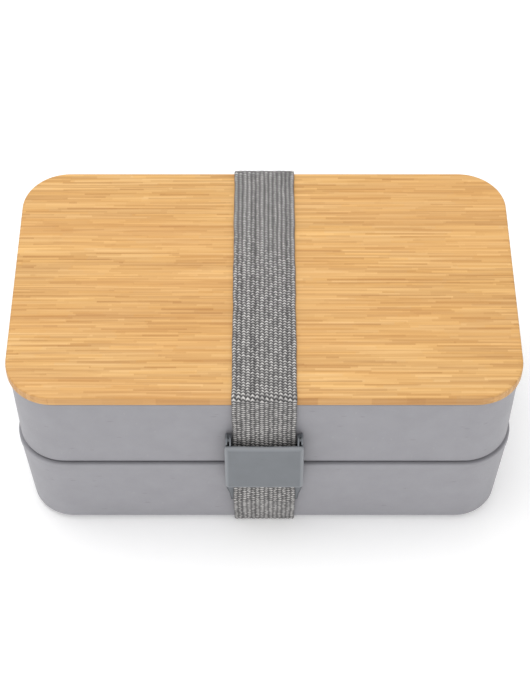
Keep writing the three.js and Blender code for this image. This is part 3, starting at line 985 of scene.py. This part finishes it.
def makeDivider():
    # a plate across the tray with two side flanges and a floor flange
    low, high = cadBox("divider")
    shape = dividerShape
    middle = (low[0] + high[0]) / 2
    bend = shape["round"]
    top = high[1]
    turnHigh = low[2] + bend
    trayLow = cadBox("upper_tier")[0][2]
    tall = cadBox("upper_tier")[1][2] - trayLow
    lean = wallInset(upperTray, tall, turnHigh - trayLow) - wallInset(upperTray, tall, high[2] - trayLow)
    foot = top - lean
    plate = np.vstack([
        arcPoints((foot - bend, turnHigh), bend, -90, 0, 8),
        arcPoints((top - shape["topRound"], high[2] - shape["topRound"]), shape["topRound"], 0, 90, 8),
        arcPoints((-top + shape["topRound"], high[2] - shape["topRound"]), shape["topRound"], 90, 180, 8),
        arcPoints((-foot + bend, turnHigh), bend, 180, 270, 8),
    ])
    half = shape["thick"] / 2
    thick = shape["flangeThick"]
    shells = [slab(plate, middle - half, middle + half, shape["edge"], "x")]
    flangeTop = high[2] - shape["topRound"]
    for side in (-1, 1):
        flange = np.array([
            [side * foot, turnHigh],
            [side * top, flangeTop],
            [side * (top - thick), flangeTop],
            [side * (foot - thick), turnHigh],
        ])
        flange = flange if side > 0 else flange[::-1]
        shells.append(slab(flange, low[0], high[0], 0.3, "x"))
    floorFlange = np.array([
        [bend - foot, low[2]],
        [foot - bend, low[2]],
        [foot - bend, low[2] + thick],
        [bend - foot, low[2] + thick],
    ])
    shells.append(slab(floorFlange, low[0], high[0], 0.3, "x"))
    points, faces = gather(*shells)
    makePiece(
        "trayDivider", points, faces, innerPlastic,
        body="divider", nodes=["divider"],
    )


makeInnerLid()
makeSeal(
    "innerLidSeal", "inner_lid_seal", shrink(innerPlan, innerCover["plugInset"]), 0.4,
    innerCover["grooveDeep"], "inner_lid",
)
makeVentPlug()
makeDivider()
print("inside pieces ready")


leverShape = {
    "lowRound": 1.6,
    "topRound": 0.9,
    "sag": 0.4,  # how far the middle of the top edge dips
    "topBelowHinge": 2.6,
    "thick": 1.7,
    "gap": 1.0,  # from the strap's face to the plate's back
    "faceEdgeWide": 1.5,
    "faceEdgeDeep": 1.1,
    "backEdge": 0.3,
    "lugThick": 0.6,
    "lugRadius": 1.2,
    "pivotRadius": 0.6,
}
frameShape = {
    "floorThick": 0.9,
    "earThick": 0.7,
    "earRadius": 1.7,
    "edge": 0.25,
    "notchLow": 49.6,
    # the foot's outline: height above its lower edge, and how far it is drawn in
    "foot": [(0.0, 1.6), (3.7, 1.1), (7.8, 0.0)],
}
hinge = next(joint for joint in frame["joints"] if joint["name"] == "buckle_flip")
hingeY, hingeZ = (value / metre for value in hinge["pos_m"][1:])

strapRoute = {
    "split": 70.0,  # where the strap's two meshes meet
    "lowerStretch": (63.3, 69.9),  # heights that bound the strap's lower span, for the upper tray's lift
    "upperStretch": (70.1, 77.9),  # and its upper span, for the lid's lift
    "lift": 0.8,  # from the box's surface to the strap's middle
    "topRound": 1.6,
    "baseRound": 3.0,
    "slotInward": 1.3,  # how far the strap draws back towards the box above the plate
    "slotDrop": 5.0,  # height over which it comes out again behind the plate
}


def strapPath():
    # the loop's middle line in (y, z): its upper part from front to back, then its lower part
    lidHigh = cadBox("bamboo_lid")[1]
    lowerLow, lowerHigh = cadBox("lower_tier")
    endLow = cadBox("strap_front_end")[0]
    lift, split = strapRoute["lift"], strapRoute["split"]
    tall = lowerHigh[2] - lowerLow[2]
    base = lowerTray["baseRound"]
    lidSide = lidHigh[1] + lift
    rimSide = lowerHigh[1] + lift
    buckleSide = -endLow[1] - webbing["thick"] / 2
    topTurn = (lidHigh[1] - lidBoard["topRound"], lidHigh[2] - lidBoard["topRound"])
    baseTurn = (lowerHigh[1] - wallInset(lowerTray, tall, base) - base, lowerLow[2] + base)
    plateTop = hingeZ - leverShape["topBelowHinge"]
    slot = (-buckleSide + strapRoute["slotInward"], plateTop - 0.2)
    entry = (-buckleSide, slot[1] - strapRoute["slotDrop"])
    leaving = (-buckleSide, endLow[2])
    frontLid = (-lidSide, topTurn[1])
    backLid = (lidSide, topTurn[1])
    backRim = (rimSide, lowerHigh[2] - 1)

    def level(start, end, z):
        share = (z - start[1]) / (end[1] - start[1])
        return (start[0] + (end[0] - start[0]) * share, z)

    topRound, baseRound = strapRoute["topRound"], strapRoute["baseRound"]
    frontTop = arcPoints((-topTurn[0], topTurn[1]), topRound, 180, 90, 10)
    backTop = arcPoints(topTurn, topRound, 90, 0, 10)
    frontBase = arcPoints((-baseTurn[0], baseTurn[1]), baseRound, 180, 270, 12)
    backBase = arcPoints(baseTurn, baseRound, -90, 0, 12)
    upper = np.vstack([
        [level(slot, frontLid, split)], frontTop, backTop, [level(backRim, backLid, split)],
    ])
    lower = np.vstack([
        [level(slot, frontLid, split), slot, entry, leaving], frontBase, backBase,
        [backRim, level(backRim, backLid, split)],
    ])
    return upper, lower


def pathLength(path):
    # sum of the distances between neighbours
    return np.linalg.norm(np.diff(path, axis=0), axis=1).sum()


def evenly(path, step):
    # the path walked in equal steps close to the asked one, with how far along each point is
    lengths = np.concatenate([[0], np.cumsum(np.linalg.norm(np.diff(path, axis=0), axis=1))])
    walked = np.linspace(0, lengths[-1], int(round(lengths[-1] / step)) + 1)
    points = np.stack([np.interp(walked, lengths, path[:, k]) for k in (0, 1)], -1)
    return points, walked


def ribRelief(across, along):
    # height of the knit: each rib is a dome, and slanted stitches ride on it in a chevron
    rib = (across / webbing["width"] + 0.5) * webbing["ribs"]
    side = rib - np.floor(rib) - 0.5
    dome = np.cos(side * math.pi)
    phase = along / webbing["stitch"] + np.abs(side) * 2 * webbing["slant"]
    phase = phase + np.floor(rib) * webbing["ribOffset"]
    stitch = 0.5 + 0.5 * np.cos(2 * math.pi * phase)
    relief = webbing["ribHeight"] * np.sqrt(np.clip(dome, 0, 1))
    return relief + webbing["stitchHeight"] * stitch * np.clip(dome, 0, 1) ** 0.6


def makeStrap(name, path, start, direction, step, nodes):
    # a band round the path: for each point along it, a section whose outside carries the knit
    width, thick = webbing["width"], webbing["thick"]
    middle, walked = evenly(path, step)
    along = start + direction * walked
    ahead = np.gradient(middle, axis=0)
    window = np.ones(7) / 7
    padded = np.pad(ahead, ((3, 3), (0, 0)), mode="edge")
    ahead = np.stack([np.convolve(padded[:, k], window, "valid") for k in (0, 1)], -1)
    ahead /= np.linalg.norm(ahead, axis=1)[:, None]
    outward = np.stack([-ahead[:, 1], ahead[:, 0]], -1) * direction

    faceSteps = webbing["ribs"] * webbing["stepsPerRib"]
    backSteps = webbing["ribs"] * 2
    edge = 0.45
    flat = np.linspace(-width / 2, width / 2, faceSteps + 1)
    back = np.linspace(width / 2, -width / 2, backSteps + 1)[1:-1]
    across = np.concatenate([flat, back])
    isFace = np.arange(len(across)) <= faceSteps
    reach = np.clip((np.abs(across) - (width / 2 - edge)) / edge, 0, 1)
    bend = np.sqrt(1 - reach**2)
    sideways, lengthways = np.meshgrid(across, along)
    relief = ribRelief(sideways, lengthways)
    face = thick / 2 - 0.12 + relief
    under = -(thick / 2 - 0.05)  # clears the buckle's floor plate
    height = np.where(isFace[None, :], face * bend[None, :], under * bend[None, :])
    wobble = 0.07 * np.sin(lengthways * 0.21) + 0.05 * np.sin(lengthways * 0.53 + 1.3)
    x = sideways * (1 + wobble * np.abs(sideways) / (width / 2) ** 2)
    y = middle[:, :1] + outward[:, :1] * height
    z = middle[:, 1:] + outward[:, 1:] * height
    rings = np.stack([x, y, z], -1)
    points, faces = loft(rings)
    if direction < 0:
        faces = [corners[::-1] for corners in faces]
    piece = makePiece(name, points, faces, webCloth, sharp=80)
    mesh = piece.data
    u = np.tile(across / width + 0.5, len(along))
    v = np.repeat(along / 100, len(across))
    layer = mesh.uv_layers.new(name="run")
    order = np.zeros(len(mesh.loops), np.int32)
    mesh.loops.foreach_get("vertex_index", order)
    spots = np.stack([u[order], v[order]], -1).astype(np.float32)
    layer.data.foreach_set("uv", spots.ravel())
    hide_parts(*nodes)
    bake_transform(piece)


upperPath, lowerPath = strapPath()
loopLength = pathLength(upperPath) + pathLength(lowerPath)
webbing["stitch"] = loopLength / round(loopLength / webbing["stitch"])
webCloth = webMaterial()
makeStrap(
    "strapUpper", upperPath, 0.0, 1, 0.22,
    ["strap_top", "strap_front_rise", "strap_back_rise"],
)
makeStrap(
    "strapLower", lowerPath, 0.0, -1, 0.37,
    [
        "strap_front_end", "strap_front_mid", "strap_back_mid",
        "strap_front_low", "strap_bottom", "strap_back_low",
    ],
)
print("strap ready")


def plateRing(half, low, top, inset, depth):
    # outline of the lever's plate drawn in by inset, its top edge sagging in the middle
    lowRound = max(leverShape["lowRound"] - inset, 0.3)
    topRound = max(leverShape["topRound"] - inset, 0.2)
    h, b, t = half - inset, low + inset, top - inset
    along = np.linspace(h - topRound, -h + topRound, 25)[1:-1]
    ring = np.vstack([
        np.column_stack([np.linspace(-h + lowRound, h - lowRound, 12)[1:-1], np.full(10, b)]),
        arcPoints((h - lowRound, b + lowRound), lowRound, -90, 0, 10),
        np.column_stack([np.full(8, h), np.linspace(b + lowRound, t - topRound, 10)[1:-1]]),
        arcPoints((h - topRound, t - topRound), topRound, 0, 90, 8),
        np.column_stack([along, np.full(len(along), t)]),
        arcPoints((-h + topRound, t - topRound), topRound, 90, 180, 8),
        np.column_stack([np.full(8, -h), np.linspace(t - topRound, b + lowRound, 10)[1:-1]]),
        arcPoints((-h + lowRound, b + lowRound), lowRound, 180, 270, 10),
    ])
    share = np.clip((ring[:, 1] - low) / (top - low), 0, 1) ** 3
    dip = leverShape["sag"] * share * (1 - (ring[:, 0] / half) ** 2)
    return np.column_stack([ring[:, 0], np.full(len(ring), depth), ring[:, 1] - dip])


def rod(x0, x1, radius, y, z):
    # a round pin along x
    outline = arcPoints((y, z), radius, 0, 360, 28)[:-1]
    return slab(outline, x0, x1, min(0.15, radius / 3), "x")


def plateRib(back, low, high):
    # a low ridge along the back of the plate that reaches for the strap
    half = webbing["width"] / 2 - 0.5
    tip = back + leverShape["gap"] - 0.25
    outline = np.array([[back - 0.4, low], [tip, low + 0.4], [tip, high - 0.4], [back - 0.4, high]])
    return slab(outline, -half, half, 0.12, "x")


def makeLever():
    # a plate whose bevels carry a painted highlight, two ridges behind it, two lugs and their pins
    low, high = cadBox("buckle_lever")
    shape = leverShape
    half = high[0]
    top = hingeZ - shape["topBelowHinge"]
    front = low[1]
    back = front + shape["thick"]
    edge = shape["backEdge"]
    rings = [
        plateRing(half, low[2], top, edge + 1.0, back),
        plateRing(half, low[2], top, edge, back),
        plateRing(half, low[2], top, 0.3 * edge, back - 0.3 * edge),
        plateRing(half, low[2], top, 0.0, back - edge),
    ]
    turns = np.radians(np.linspace(0, 90, 9))
    paintedHighlight = [0.0, 0.0, 0.3, 0.8, *(1 - (turns / turns[-1]) ** 2), 0.0]  # how much painted highlight each ring carries
    for turn in turns:
        inset = shape["faceEdgeWide"] * (1 - math.cos(turn))
        depth = front + shape["faceEdgeDeep"] * (1 - math.sin(turn))
        rings.append(plateRing(half, low[2], top, inset, depth))
    rings.append(plateRing(half, low[2], top, shape["faceEdgeWide"] + 0.8, front))
    shells = [loft(rings), plateRib(back, top - 8.5, top - 5.5), plateRib(back, low[2] + 0.4, low[2] + 2)]
    lugIn = webbing["width"] / 2 + 0.5
    lugOut = lugIn + shape["lugThick"]
    radius = shape["lugRadius"]
    lug = np.vstack([
        arcPoints((hingeY, hingeZ), radius, 0, 180, 12),
        [[hingeY - radius, top - 2], [hingeY + radius, top - 2]],
    ])
    shells.append(slab(lug, lugIn, lugOut, 0.15, "x"))
    shells.append(slab(lug, -lugOut, -lugIn, 0.15, "x"))
    shells.append(rod(lugOut - 0.1, lugOut + 1.1, shape["pivotRadius"], hingeY, hingeZ))
    shells.append(rod(-lugOut - 1.1, -lugOut + 0.1, shape["pivotRadius"], hingeY, hingeZ))
    points, faces = gather(*shells)
    lever = makePiece(
        "buckleLever", points, faces, bucklePlastic, sharp=40,
        body="buckle_lever", nodes=["buckle_lever"],
    )
    # painted highlight: each point's share, stored as the rim attribute
    rim = np.zeros(len(points), np.float32)
    rim[:len(rings) * len(rings[0])] = np.repeat(paintedHighlight, len(rings[0]))
    layer = lever.data.attributes.new("rim", "FLOAT", "POINT")
    layer.data.foreach_set("value", rim)


def makeBuckleFrame():
    # a notched floor plate with an ear at each side
    low, high = cadBox("buckle_frame")
    leverLow = cadBox("buckle_lever")[0]
    shape = frameShape
    out = high[0]
    back = high[1]
    plateBack = leverLow[1] + leverShape["thick"]
    floorTop = hingeZ - 0.4
    side = [(inset - out, low[2] + height) for height, inset in reversed(shape["foot"])]
    clear = webbing["width"] / 2 + 0.4  # a notch lets the strap draw back above the plate
    notch = [(clear, floorTop), (clear, shape["notchLow"]), (-clear, shape["notchLow"]), (-clear, floorTop)]
    floor = [(-out, floorTop), *side, *[(-x, z) for x, z in side[::-1]], (out, floorTop), *notch]
    floor = np.array(floor)
    shells = [slab(floor, back, back - shape["floorThick"], shape["edge"], "y")]
    radius = shape["earRadius"]
    rail = plateBack + 0.3
    earLow = leverLow[2] + 1
    ear = np.vstack([
        [[back, earLow], [back, hingeZ + radius - 1]],
        arcPoints((hingeY, hingeZ), radius, 90, 270, 24),
        [[rail, hingeZ - radius], [rail, earLow]],
    ])
    for side in (-1, 1):
        inner, outer = side * (out - shape["earThick"]), side * out
        shells.append(slab(ear, min(inner, outer), max(inner, outer), 0.25, "x"))
    points, faces = gather(*shells)
    makePiece(
        "buckleFrame", points, faces, bucklePlastic, sharp=40,
        body="strap_base", nodes=["buckle_frame"],
    )


makeLever()
makeBuckleFrame()
print("buckle ready")
